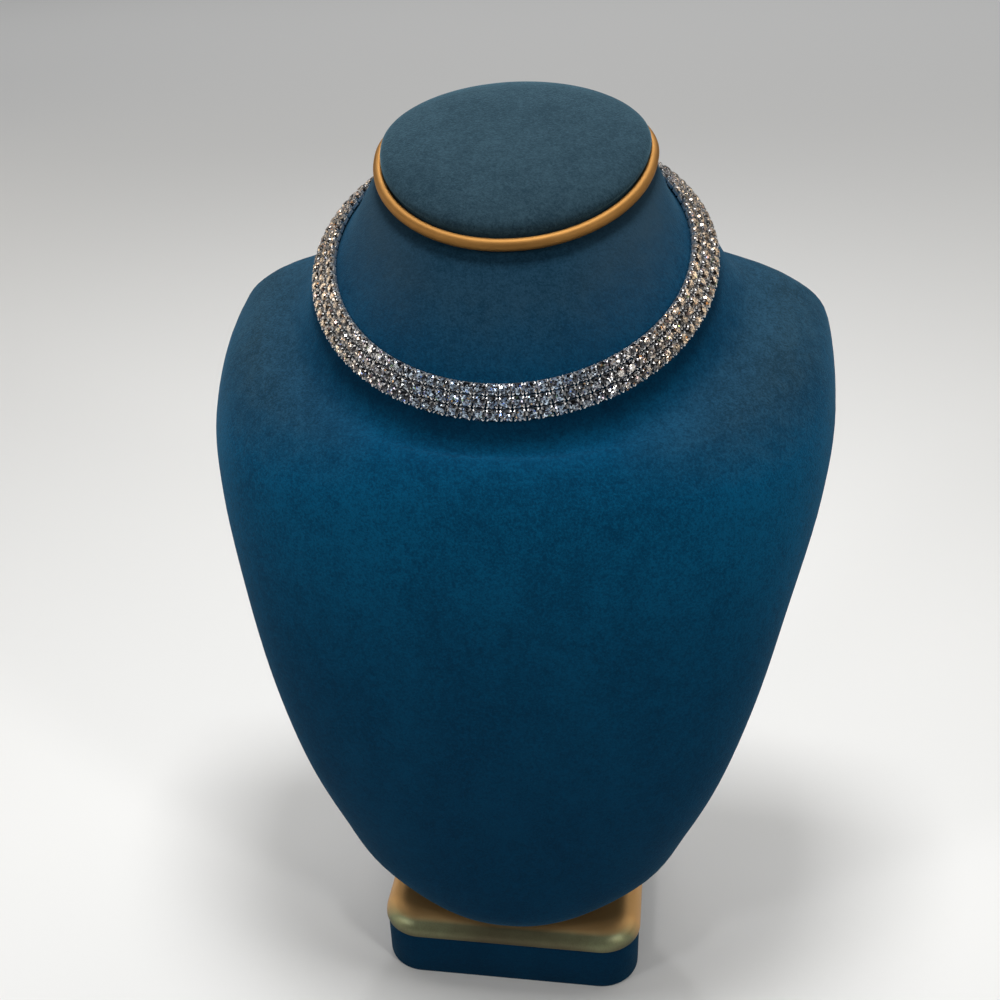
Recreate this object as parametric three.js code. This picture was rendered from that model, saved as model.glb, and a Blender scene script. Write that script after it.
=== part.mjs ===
// Choker of three rows of claw-set stones, worn by a velvet neck bust on a small base.
// Millimetres, +Z up, the chest faces -Y. The origin is the middle of the base's underside.

import * as THREE from 'three';

// Clearances
const GAP = 0.3;
const BAND_CLEARANCE = 0.6;

// Choker: the loop of the middle row, seen along its own axis
const LOOP_HALF_WIDTH = 62.3;
const LOOP_FRONT_DEPTH = 60.8;
const LOOP_BACK_DEPTH = 59;
const LOOP_TILT = 30;

// Choker: stones, cups and rows
const STONE_PITCH = 4;
const ROW_WIDTH = 3.7;
const CUP_DEPTH = 2;
const TABLE_RADIUS = 0.95;
const TABLE_RISE = 0.4;
const CLAW_RISE = 0.1;
const CUP_RIM_DROP = 0.6;
const CLASP_LENGTH = 11;
const CLASP_THICKNESS = 2.2;

// Choker: how far the face leans back from the loop's radius, in degrees
const LEAN_FRONT = 37;
const LEAN_SIDE = 46;
const LEAN_BACK = 38;

// Neck ring and top pad
const RING_HALF_WIDTH = 44.1;
const RING_FRONT_DEPTH = 44.5;
const RING_BACK_DEPTH = 32;
const RING_TUBE_RADIUS = 1.9;
const RING_TILT = 24;
const RING_RISE = 28;
const RING_SETBACK = 13.6;
const PAD_RISE = 9.3;
const PAD_FULLNESS = 2.7;
const PAD_OVERHANG = 3.3;
const PAD_LIP_SLOPE = 0.5;

// Bust
const BUST_WIDTH = 218;
const BUST_FRONT = 69.5;
const BUST_BACK = 58;
const BUST_DROP = 235.7;
const BAND_SEAT_SHARE = 1.1;
const NECK_EDGE_INSET = 0.6;
const NECK_TOP_INSET = 1.4;

// Base
const BASE_WIDTH = 97;
const BASE_DEPTH = 90;
const BASE_CORNER = 15;
const PLINTH_HEIGHT = 18.3;
const PLINTH_INSET = 0.6;
const CAP_HEIGHT = 7.5;
const CAP_EDGE_RADIUS = 4;
const BASE_SETBACK = 19.4;

// Fineness of the meshes
const BUST_FACETS = 48;
const BUST_STEPS = 2;
const RING_FACETS = 60;
const TUBE_FACETS = 10;
const PAD_STEPS = 5;
const CORNER_FACETS = 5;
const EDGE_STEPS = 4;
const CLASP_STEPS = 4;
const RULER_STEPS = 1440;

// Sections of the bust from its foot to its shoulders. Height is a share of the drop from the
// loop's centre, width of the half width, front, middle and back of the chest's reach forwards
// and the back's reach backwards, tilt of the loop's own tilt. Fullness 2 is an ellipse.
const BUST_SECTIONS = [
  { height: 0.0, width: 0.19, front: 0.85, middle: 0.39, back: 0.09, fullness: 2.3, tilt: 0 },
  { height: 0.008, width: 0.29, front: 0.92, middle: 0.4, back: 0.11, fullness: 2.3, tilt: 0 },
  { height: 0.028, width: 0.395, front: 0.965, middle: 0.42, back: 0.13, fullness: 2.3, tilt: 0 },
  { height: 0.075, width: 0.518, front: 0.985, middle: 0.48, back: 0.15, fullness: 2.3, tilt: 0 },
  { height: 0.154, width: 0.6, front: 0.99, middle: 0.53, back: 0.18, fullness: 2.35, tilt: 0 },
  { height: 0.253, width: 0.69, front: 0.995, middle: 0.54, back: 0.23, fullness: 2.4, tilt: 0 },
  { height: 0.39, width: 0.787, front: 1, middle: 0.46, back: 0.31, fullness: 2.4, tilt: 0 },
  { height: 0.528, width: 0.867, front: 0.99, middle: 0.3, back: 0.42, fullness: 2.4, tilt: 0 },
  { height: 0.666, width: 0.96, front: 0.975, middle: -0.05, back: 0.58, fullness: 2.4, tilt: 0 },
  { height: 0.766, width: 0.992, front: 0.945, middle: -0.31, back: 0.75, fullness: 2.4, tilt: 0.12 },
  { height: 0.845, width: 0.955, front: 0.905, middle: -0.5, back: 0.86, fullness: 2.3, tilt: 0.4 },
  { height: 0.882, width: 0.85, front: 0.885, middle: -0.4, back: 0.9, fullness: 2.2, tilt: 0.6 },
  { height: 0.91, width: 0.69, front: 0.87, middle: -0.2, back: 0.93, fullness: 2.05, tilt: 0.8 },
];

const TURN = 2 * Math.PI;
const ROW_PITCH = ROW_WIDTH + GAP;
const BAND_WIDTH = 3 * ROW_WIDTH + 2 * GAP;
const LOOP_CENTRE = new THREE.Vector3(
  0,
  BASE_SETBACK,
  PLINTH_HEIGHT + GAP + CAP_HEIGHT + GAP + BUST_DROP,
);

const VELVET = { color: 0x1c4a63, roughness: 0.95, metalness: 0 };
const GOLD = { color: 0xc8963c, roughness: 0.32, metalness: 1 };
const SETTING = { color: 0xb9bcc2, roughness: 0.18, metalness: 1 };

// A point whose share of a turn is counted from the front, on an oval with its own depth at
// the front and at the back, and with the given fullness.
function ovalPoint(angle, halfWidth, frontDepth, backDepth, fullness = 2) {
  const side = Math.sin(angle);
  const ahead = Math.cos(angle);
  const power = 2 / fullness;
  const depth = ahead > 0 ? frontDepth : backDepth;
  return new THREE.Vector2(
    halfWidth * Math.sign(side) * Math.abs(side) ** power,
    -depth * Math.sign(ahead) * Math.abs(ahead) ** power,
  );
}

function tilted(point, degrees) {
  return point.applyAxisAngle(new THREE.Vector3(1, 0, 0), THREE.MathUtils.degToRad(degrees));
}

function turnAngles(count) {
  return Array.from({ length: count }, (_, index) => (TURN * index) / count);
}

// A closed body through rings of points that all run the same way round. The first and last
// rings are closed by fans, or joined to each other where the body is a hoop.
function bodyThroughRings(rings, isHoop = false) {
  const count = rings[0].length;
  const points = rings.flat();
  const faces = [];
  const bands = isHoop ? rings.length : rings.length - 1;
  for (let ring = 0; ring < bands; ring += 1) {
    const lower = ring * count;
    const upper = ((ring + 1) % rings.length) * count;
    for (let step = 0; step < count; step += 1) {
      const next = (step + 1) % count;
      faces.push([lower + step, lower + next, upper + next]);
      faces.push([lower + step, upper + next, upper + step]);
    }
  }
  if (!isHoop) {
    faces.push(...fanFaces(points, rings[0], 0, true));
    faces.push(...fanFaces(points, rings.at(-1), (rings.length - 1) * count, false));
  }
  return meshGeometry(points, faces);
}

// A fan of faces from the middle of a ring, with the middle added to the points.
function fanFaces(points, ring, first, isTurned) {
  const middle = new THREE.Vector3();
  ring.forEach((point) => middle.addScaledVector(point, 1 / ring.length));
  const hub = points.push(middle) - 1;
  return ring.map((_, step) => {
    const here = first + step;
    const next = first + ((step + 1) % ring.length);
    return isTurned ? [hub, next, here] : [hub, here, next];
  });
}

function meshGeometry(points, faces) {
  const geometry = new THREE.BufferGeometry();
  geometry.setAttribute('position', new THREE.Float32BufferAttribute(
    points.flatMap((point) => [point.x, point.y, point.z]),
    3,
  ));
  geometry.setIndex(faces.flat());
  geometry.computeVertexNormals();
  return geometry;
}

function namedMesh(name, geometry, finish) {
  const mesh = new THREE.Mesh(geometry, new THREE.MeshStandardMaterial(finish));
  mesh.name = name;
  return mesh;
}

// How far the face of the choker leans back from the loop's radius at a place on the loop.
function leanAt(angle) {
  const ends = (LEAN_FRONT + LEAN_BACK) / 2;
  const mean = (ends + LEAN_SIDE) / 2;
  const frontShare = (LEAN_FRONT - LEAN_BACK) / 2;
  const sideShare = (ends - LEAN_SIDE) / 2;
  const degrees = mean + frontShare * Math.cos(angle) + sideShare * Math.cos(2 * angle);
  return THREE.MathUtils.degToRad(degrees);
}

// The loop's place, the way out of the face and the way up across the rows, in its own plane.
function loopFrame(angle) {
  const spot = ovalPoint(angle, LOOP_HALF_WIDTH, LOOP_FRONT_DEPTH, LOOP_BACK_DEPTH);
  const depth = Math.cos(angle) > 0 ? LOOP_FRONT_DEPTH : LOOP_BACK_DEPTH;
  const outward = new THREE.Vector2(Math.sin(angle) / LOOP_HALF_WIDTH, -Math.cos(angle) / depth);
  outward.normalize();
  const lean = leanAt(angle);
  const cos = Math.cos(lean);
  const sin = Math.sin(lean);
  return {
    spot: new THREE.Vector3(spot.x, spot.y, 0),
    face: new THREE.Vector3(outward.x * cos, outward.y * cos, sin),
    rise: new THREE.Vector3(-outward.x * sin, -outward.y * sin, cos),
  };
}

function bandPoint(angle, across, height) {
  const { spot, face, rise } = loopFrame(angle);
  return spot.addScaledVector(rise, across).addScaledVector(face, height);
}

// A function that gives the angle at a length along the loop, counted from its back.
function loopRuler() {
  const steps = RULER_STEPS;
  const lengths = [0];
  let last = bandPoint(-Math.PI, 0, 0);
  for (let step = 1; step <= steps; step += 1) {
    const point = bandPoint(-Math.PI + (TURN * step) / steps, 0, 0);
    lengths.push(lengths.at(-1) + point.distanceTo(last));
    last = point;
  }
  const angleAt = (length) => {
    const above = Math.max(1, lengths.findIndex((entry) => entry >= length));
    const share = (length - lengths[above - 1]) / (lengths[above] - lengths[above - 1]);
    return -Math.PI + (TURN * (above - 1 + share)) / steps;
  };
  return { total: lengths.at(-1), angleAt };
}

const LOOP = loopRuler();
const COLUMN_COUNT = 2 * Math.floor((LOOP.total - CLASP_LENGTH) / STONE_PITCH / 2) + 1;
const COLUMN_PITCH = (LOOP.total - CLASP_LENGTH) / COLUMN_COUNT;

// The border points of one stone's cell, on its leading edge or in its middle: the edges of
// the row at the claws or between them, then the same edges on the back.
function cellSection(angle, rowMiddle, isMiddle) {
  const half = ROW_WIDTH / 2;
  const edge = isMiddle ? -CUP_RIM_DROP : CLAW_RISE;
  return {
    low: bandPoint(angle, rowMiddle - half, edge),
    middle: bandPoint(angle, rowMiddle, -CUP_RIM_DROP),
    high: bandPoint(angle, rowMiddle + half, edge),
    lowBack: bandPoint(angle, rowMiddle - half, -CUP_DEPTH),
    highBack: bandPoint(angle, rowMiddle + half, -CUP_DEPTH),
  };
}

// The eight corners of a stone's flat table, in turn from the trailing side.
function tableCorners(middleLength, rowMiddle) {
  return turnAngles(8).map((turn) => {
    const along = middleLength - Math.cos(turn) * TABLE_RADIUS;
    const across = rowMiddle - Math.sin(turn) * TABLE_RADIUS;
    return bandPoint(LOOP.angleAt(along), across, TABLE_RISE);
  });
}

// One row: each stone has a table and a ring of crown facets that run down to the rim of its
// square cup, with the claws standing up at the shared corners.
function rowGeometry(rowMiddle) {
  const points = [];
  const faces = [];
  const add = (point) => points.push(point) - 1;
  const addSection = (section) => Object.fromEntries(
    Object.entries(section).map(([key, point]) => [key, add(point)]),
  );
  const start = CLASP_LENGTH / 2;
  let before = addSection(cellSection(LOOP.angleAt(start), rowMiddle, false));
  faces.push(...endFaces(before, false));
  for (let column = 0; column < COLUMN_COUNT; column += 1) {
    const middleLength = start + (column + 0.5) * COLUMN_PITCH;
    const middle = addSection(cellSection(LOOP.angleAt(middleLength), rowMiddle, true));
    const afterAngle = LOOP.angleAt(start + (column + 1) * COLUMN_PITCH);
    const after = addSection(cellSection(afterAngle, rowMiddle, false));
    const table = tableCorners(middleLength, rowMiddle).map(add);
    const border = [
      before.middle, before.low, middle.low, after.low,
      after.middle, after.high, middle.high, before.high,
    ];
    faces.push(...stoneFaces(table, border));
    faces.push(...wallFaces(before, middle), ...wallFaces(middle, after));
    before = after;
  }
  faces.push(...endFaces(before, true));
  return withoutLoosePoints(points, faces);
}

function stoneFaces(table, border) {
  const faces = [];
  for (let corner = 1; corner < table.length - 1; corner += 1) {
    faces.push([table[0], table[corner], table[corner + 1]]);
  }
  table.forEach((here, corner) => {
    const next = table[(corner + 1) % table.length];
    const outer = border[corner];
    const outerNext = border[(corner + 1) % border.length];
    faces.push([here, outer, outerNext], [here, outerNext, next]);
  });
  return faces;
}

function wallFaces(first, second) {
  return [
    [first.low, first.lowBack, second.lowBack],
    [first.low, second.lowBack, second.low],
    [first.high, second.high, second.highBack],
    [first.high, second.highBack, first.highBack],
    [first.lowBack, first.highBack, second.highBack],
    [first.lowBack, second.highBack, second.lowBack],
  ];
}

function endFaces(section, isLast) {
  const faces = [
    [section.lowBack, section.low, section.middle],
    [section.lowBack, section.middle, section.highBack],
    [section.middle, section.high, section.highBack],
  ];
  return isLast ? faces.map((face) => face.toReversed()) : faces;
}

// The geometry of the points that faces use, in their first order.
function withoutLoosePoints(points, faces) {
  const used = [...new Set(faces.flat())].sort((one, other) => one - other);
  const places = new Map(used.map((point, index) => [point, index]));
  const kept = used.map((point) => points[point]);
  return meshGeometry(kept, faces.map((face) => face.map((point) => places.get(point))));
}

// The plain clasp that closes the loop behind the neck.
function claspGeometry() {
  const half = BAND_WIDTH / 2;
  const reach = CLASP_LENGTH / 2 - GAP;
  const top = (CLASP_THICKNESS - CUP_DEPTH) / 2;
  const bottom = top - CLASP_THICKNESS;
  const corners = [[-half, bottom], [half, bottom], [half, top], [-half, top]];
  const rings = [];
  for (let step = 0; step <= CLASP_STEPS; step += 1) {
    const along = reach * ((2 * step) / CLASP_STEPS - 1);
    const length = along < 0 ? LOOP.total + along : along;
    const angle = LOOP.angleAt(length);
    rings.push(corners.map(([across, height]) => bandPoint(angle, across, height)));
  }
  return bodyThroughRings(rings);
}

// A point in the plane of the neck ring, at a height above that plane.
function ringPlanePoint(angle, inset, height, share = 1) {
  const spot = ovalPoint(
    angle,
    (RING_HALF_WIDTH - inset) * share,
    (RING_FRONT_DEPTH - inset) * share,
    (RING_BACK_DEPTH - inset) * share,
  );
  const point = tilted(new THREE.Vector3(spot.x, spot.y, height), RING_TILT);
  return point.add(new THREE.Vector3(0, RING_SETBACK, RING_RISE));
}

function ringGeometry() {
  const rings = turnAngles(RING_FACETS).map((angle) => turnAngles(TUBE_FACETS).map((turn) => {
    const inset = RING_TUBE_RADIUS * Math.cos(turn);
    return ringPlanePoint(angle, inset, RING_TUBE_RADIUS * Math.sin(turn));
  }));
  return bodyThroughRings(rings, true);
}

// How far the pad reaches out over the ring: not in front, and all of it behind.
function padOverhang(angle) {
  return PAD_OVERHANG * (1 - Math.cos(angle)) / 2;
}

// The pad's side rises inside the ring, spreads over the ring's back and turns into a low dome.
function padGeometry() {
  const inset = RING_TUBE_RADIUS + GAP;
  const lip = RING_TUBE_RADIUS + GAP;
  const angles = turnAngles(BUST_FACETS);
  const rings = [-RING_TUBE_RADIUS, lip].map(
    (height) => angles.map((angle) => ringPlanePoint(angle, inset, height)),
  );
  const start = lip + PAD_LIP_SLOPE;
  for (let step = 0; step <= PAD_STEPS; step += 1) {
    const turn = (Math.PI / 2) * (step / (PAD_STEPS + 1));
    const share = Math.cos(turn) ** (2 / PAD_FULLNESS);
    const height = start + (PAD_RISE - start) * Math.sin(turn) ** (2 / PAD_FULLNESS);
    rings.push(angles.map(
      (angle) => ringPlanePoint(angle, inset - padOverhang(angle), height, share),
    ));
  }
  return bodyThroughRings(rings);
}

function bustSectionPoint(angle, section) {
  const middle = -BUST_FRONT * section.middle;
  const frontDepth = BUST_FRONT * section.front + middle;
  const backDepth = BUST_BACK * section.back - middle;
  const halfWidth = (BUST_WIDTH / 2) * section.width;
  const spot = ovalPoint(angle, halfWidth, frontDepth, backDepth, section.fullness);
  const point = tilted(new THREE.Vector3(spot.x, spot.y + middle, 0), LOOP_TILT * section.tilt);
  point.z += BUST_DROP * (section.height - 1);
  return point;
}

// The bust's skin behind the choker runs along the choker's back with a clearance.
function bandSeatPoint(angle, share) {
  const across = (BAND_WIDTH / 2) * share;
  return tilted(bandPoint(angle, across, -CUP_DEPTH - BAND_CLEARANCE), LOOP_TILT);
}

function neckTopPoint(angle, inset) {
  return ringPlanePoint(angle, inset, -RING_TUBE_RADIUS - GAP);
}

// The bust: smooth curves run up through its sections, the choker's seat and the neck's top.
function bustGeometry() {
  const columns = turnAngles(BUST_FACETS).map((angle) => {
    const keys = BUST_SECTIONS.map((section) => bustSectionPoint(angle, section));
    [-BAND_SEAT_SHARE, 0, BAND_SEAT_SHARE].forEach((share) => {
      keys.push(bandSeatPoint(angle, share));
    });
    keys.push(neckTopPoint(angle, NECK_EDGE_INSET), neckTopPoint(angle, NECK_TOP_INSET));
    const curve = new THREE.CatmullRomCurve3(keys, false, 'centripetal');
    return curve.getPoints((keys.length - 1) * BUST_STEPS);
  });
  const rings = columns[0].map((_, ring) => columns.map((column) => column[ring]));
  return bodyThroughRings(rings);
}

// An outline with round corners, counted round from the front.
function roundedOutline(halfWidth, halfDepth, corner, height) {
  const points = [];
  const centres = [[1, -1], [1, 1], [-1, 1], [-1, -1]];
  centres.forEach(([sideways, backwards], quarter) => {
    for (let step = 0; step <= CORNER_FACETS; step += 1) {
      const turn = (Math.PI / 2) * (quarter - 1 + step / CORNER_FACETS);
      points.push(new THREE.Vector3(
        sideways * (halfWidth - corner) + corner * Math.cos(turn),
        backwards * (halfDepth - corner) + corner * Math.sin(turn),
        height,
      ));
    }
  });
  return points;
}

function baseOutline(inset, height) {
  return roundedOutline(BASE_WIDTH / 2 - inset, BASE_DEPTH / 2 - inset, BASE_CORNER - inset, height);
}

function plinthGeometry() {
  return bodyThroughRings([baseOutline(PLINTH_INSET, 0), baseOutline(PLINTH_INSET, PLINTH_HEIGHT)]);
}

// The metal cap of the base, with its upper edge rounded over.
function capGeometry() {
  const bottom = PLINTH_HEIGHT + GAP;
  const top = bottom + CAP_HEIGHT;
  const rings = [baseOutline(0, bottom)];
  for (let step = 0; step <= EDGE_STEPS; step += 1) {
    const turn = (Math.PI / 2) * (step / EDGE_STEPS);
    const inset = CAP_EDGE_RADIUS * (1 - Math.cos(turn));
    rings.push(baseOutline(inset, top - CAP_EDGE_RADIUS * (1 - Math.sin(turn))));
  }
  return bodyThroughRings(rings);
}

function chokerGroup() {
  const group = new THREE.Group();
  group.rotation.x = THREE.MathUtils.degToRad(LOOP_TILT);
  group.add(
    namedMesh('upper_row', rowGeometry(ROW_PITCH), SETTING),
    namedMesh('middle_row', rowGeometry(0), SETTING),
    namedMesh('lower_row', rowGeometry(-ROW_PITCH), SETTING),
    namedMesh('clasp', claspGeometry(), SETTING),
  );
  return group;
}

function bustGroup() {
  const group = new THREE.Group();
  group.position.copy(LOOP_CENTRE);
  group.add(
    namedMesh('bust_body', bustGeometry(), VELVET),
    namedMesh('neck_ring', ringGeometry(), GOLD),
    namedMesh('neck_pad', padGeometry(), VELVET),
    chokerGroup(),
  );
  return group;
}

const object = new THREE.Group();
object.add(
  namedMesh('base_plinth', plinthGeometry(), VELVET),
  namedMesh('base_cap', capGeometry(), GOLD),
  bustGroup(),
);

export default object;
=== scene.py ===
"""Choker of three rows of claw-set stones, worn by a velvet neck bust on a small base.

Metres, +Z up. The origin is the middle of the base's underside and the chest faces -Y.
"""

from __future__ import annotations

import logging
import math
from collections.abc import Sequence
from dataclasses import dataclass, field, replace
from enum import Enum
from typing import Any

import bmesh
import bpy
from mathutils import Matrix, Vector


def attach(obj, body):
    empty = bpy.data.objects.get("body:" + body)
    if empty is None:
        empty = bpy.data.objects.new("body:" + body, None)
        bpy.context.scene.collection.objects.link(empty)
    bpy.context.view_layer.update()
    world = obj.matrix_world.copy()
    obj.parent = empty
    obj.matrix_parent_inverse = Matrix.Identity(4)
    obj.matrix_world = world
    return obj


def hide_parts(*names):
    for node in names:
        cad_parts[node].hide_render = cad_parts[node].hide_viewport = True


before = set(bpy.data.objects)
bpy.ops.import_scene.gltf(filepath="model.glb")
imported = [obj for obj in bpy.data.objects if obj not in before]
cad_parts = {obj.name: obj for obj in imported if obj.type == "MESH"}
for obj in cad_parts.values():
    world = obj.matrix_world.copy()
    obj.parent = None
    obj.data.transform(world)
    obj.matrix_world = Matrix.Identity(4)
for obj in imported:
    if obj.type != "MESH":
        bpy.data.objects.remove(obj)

LOG = logging.getLogger("choker")
MM = 0.001
FULL_TURN = 2 * math.pi
QUARTER_TURN = math.pi / 2
STRAIGHT = 180.0
MERGE_WITHIN = 1e-7
LEAST_SPAN = 1e-4

Triple = tuple[float, float, float]
Colour = Triple
ColourPair = tuple[Colour, Colour]
Limits = tuple[float, float]
Ring = list[Vector]
Face = tuple[int, ...]
Settings = dict[str, Any]
Sockets = dict[str | int, Any]
Item = bpy.types.Object
Material = bpy.types.Material


class Slot(Enum):
    """The finishes that the pieces share."""

    VELVET = "velvet"
    GOLD = "gold"
    SETTING = "setting"


# Node trees


class Wire:
    """A value in a node tree. Python operators on it add the matching Math nodes."""

    def __init__(self, board: Board, socket: bpy.types.NodeSocket) -> None:
        """Wraps one output socket of a board."""
        self.board = board
        self.socket = socket

    def __add__(self, other: Wire | float) -> Wire:
        """Adds a value."""
        return self.board.maths("ADD", self, other)

    __radd__ = __add__

    def __sub__(self, other: Wire | float) -> Wire:
        """Takes a value away."""
        return self.board.maths("SUBTRACT", self, other)

    def __rsub__(self, other: float) -> Wire:
        """Takes this value away from a number."""
        return self.board.maths("SUBTRACT", other, self)

    def __mul__(self, other: Wire | float) -> Wire:
        """Multiplies by a value."""
        return self.board.maths("MULTIPLY", self, other)

    __rmul__ = __mul__

    def between(self, low: float, high: float) -> Wire:
        """Maps 0 to 1 onto low to high."""
        return self * (high - low) + low


class Board:
    """A node tree and the one way to put any node on it."""

    def __init__(self, tree: bpy.types.NodeTree) -> None:
        """Keeps the tree that the nodes go on."""
        self.tree = tree

    def node(
        self, kind: str, settings: Settings | None = None, sockets: Sockets | None = None
    ) -> bpy.types.Node:
        """Adds a node.

        Args:
            kind: The node's type.
            settings: Its properties, set first.
            sockets: Values or wires for its inputs, by name or place.

        Returns:
            The node.
        """
        node = self.tree.nodes.new(kind)
        for key, value in (settings or {}).items():
            setattr(node, key, value)
        for key, value in (sockets or {}).items():
            if isinstance(value, Wire):
                self.tree.links.new(value.socket, node.inputs[key])
            else:
                node.inputs[key].default_value = value
        return node

    def wire(
        self,
        kind: str,
        settings: Settings | None = None,
        sockets: Sockets | None = None,
        output: str | int = 0,
    ) -> Wire:
        """Adds a node and takes one of its outputs."""
        return Wire(self, self.node(kind, settings, sockets).outputs[output])

    def maths(self, operation: str, first: Wire | float, second: Wire | float) -> Wire:
        """Adds a Math node."""
        return self.wire("ShaderNodeMath", {"operation": operation}, {0: first, 1: second})

    def vectors(self, operation: str, sockets: Sockets) -> Wire:
        """Adds a Vector Math node, whose outcome is a number for a dot product."""
        output = "Value" if operation == "DOT_PRODUCT" else "Vector"
        return self.wire("ShaderNodeVectorMath", {"operation": operation}, sockets, output)


# Shaders


@dataclass(frozen=True)
class Layer:
    """One layer of noise in a finish.

    The scale counts patches in a metre. The shares say how much the layer counts in the colour,
    and in the texture, which is the relief or the roughness.
    """

    scale: float
    detail: float
    colour_share: float = 0.0
    texture_share: float = 0.0
    roughness: float = 0.6
    stretch: Triple = (1.0, 1.0, 1.0)


class ShaderBoard(Board):
    """One material and the short ways to put nodes on it."""

    def __init__(self, name: str) -> None:
        """Starts an empty material.

        Args:
            name: The material's name.
        """
        self.material = bpy.data.materials.new(name)
        self.material.use_nodes = True
        super().__init__(self.material.node_tree)
        self.tree.nodes.clear()

    def axes(self, vector: Wire) -> list[Wire]:
        """The X, Y and Z of a vector."""
        parts = self.node("ShaderNodeSeparateXYZ", None, {0: vector})
        return [Wire(self, parts.outputs[axis]) for axis in range(3)]

    def facing(self) -> Wire:
        """The way that the surface faces."""
        return self.wire("ShaderNodeNewGeometry", output="Normal")

    def stored(self, name: str, output: str = "Fac") -> Wire:
        """A value that the mesh keeps under a name."""
        return self.wire("ShaderNodeAttribute", {"attribute_name": name}, output=output)

    def place(self, stretch: Triple = (1.0, 1.0, 1.0)) -> Wire:
        """The object's own coordinates, stretched."""
        coordinates = self.wire("ShaderNodeTexCoord", output="Object")
        return self.wire("ShaderNodeMapping", None, {"Vector": coordinates, "Scale": stretch})

    def apart(self) -> Wire:
        """How far a place is from the middle, to the left or the right."""
        return self.maths("ABSOLUTE", self.axes(self.place())[0], 0.0)

    def spread(self, value: Wire, low: float, high: float) -> Wire:
        """Maps low to high onto 0 to 1 and stops there."""
        return self.wire("ShaderNodeMapRange", {"clamp": True}, {0: value, 1: low, 2: high})

    def noise(self, layer: Layer) -> Wire:
        """The noise of one layer, from 0 to 1."""
        return self.wire("ShaderNodeTexNoise", None, {
            "Vector": self.place(layer.stretch),
            "Scale": layer.scale,
            "Detail": layer.detail,
            "Roughness": layer.roughness,
        }, "Fac")

    def layered(self, layers: Sequence[Layer]) -> tuple[list[Wire], Wire, Wire]:
        """The noise of several layers.

        Args:
            layers: The layers.

        Returns:
            Each layer's noise, and their sums by the shares in the colour and in the texture.
        """
        noises = [self.noise(layer) for layer in layers]
        shares = zip(*((layer.colour_share, layer.texture_share) for layer in layers))
        colour, texture = (
            sum(noise * share for noise, share in zip(noises, column) if share)
            for column in shares
        )
        return noises, colour, texture

    def ramp(
        self, value: Wire, stops: Sequence[tuple[float, Colour]], steps: str = "LINEAR"
    ) -> Wire:
        """Turns a value into a colour.

        Args:
            value: The value, from 0 to 1.
            stops: Places and colours, from left to right.
            steps: How it goes from stop to stop.

        Returns:
            The colour.
        """
        node = self.node("ShaderNodeValToRGB", None, {"Fac": value})
        elements = node.color_ramp.elements
        while len(elements) < len(stops):
            elements.new(1.0)
        for element, (place, colour) in zip(elements, stops):
            element.position = place
            element.color = (*colour, 1.0)
        node.color_ramp.interpolation = steps
        return Wire(self, node.outputs["Color"])

    def blend(self, value: Wire, limits: Limits, low: Colour, high: Colour) -> Wire:
        """Goes from one colour to another between two values."""
        return self.ramp(value, list(zip(limits, (low, high))))

    def mix(
        self, share: Wire | float, first: Wire | Colour, second: Wire | Colour, way: str = "MIX"
    ) -> Wire:
        """Mixes two colours.

        Args:
            share: How much of the second.
            first: The first colour.
            second: The second colour.
            way: The mix's blend type.

        Returns:
            The mixed colour.
        """
        first, second = (c if isinstance(c, Wire) else (*c, 1.0) for c in (first, second))
        settings = {"data_type": "RGBA", "blend_type": way}
        return self.wire("ShaderNodeMix", settings, {0: share, 6: first, 7: second}, 2)

    def bump(self, height: Wire, strength: float, depth: float) -> Wire:
        """Bends the normal by a height from 0 to 1. The depth is in metres."""
        sockets = {"Height": height, "Strength": strength, "Distance": depth}
        return self.wire("ShaderNodeBump", None, sockets, "Normal")

    def finish(self, sockets: Sockets) -> Material:
        """Puts the surface shader on and ends the material.

        Args:
            sockets: Values or wires of the surface shader.

        Returns:
            The material.
        """
        surface = self.wire("ShaderNodeBsdfPrincipled", None, sockets, "BSDF")
        self.node("ShaderNodeOutputMaterial", None, {"Surface": surface})
        return self.material


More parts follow.
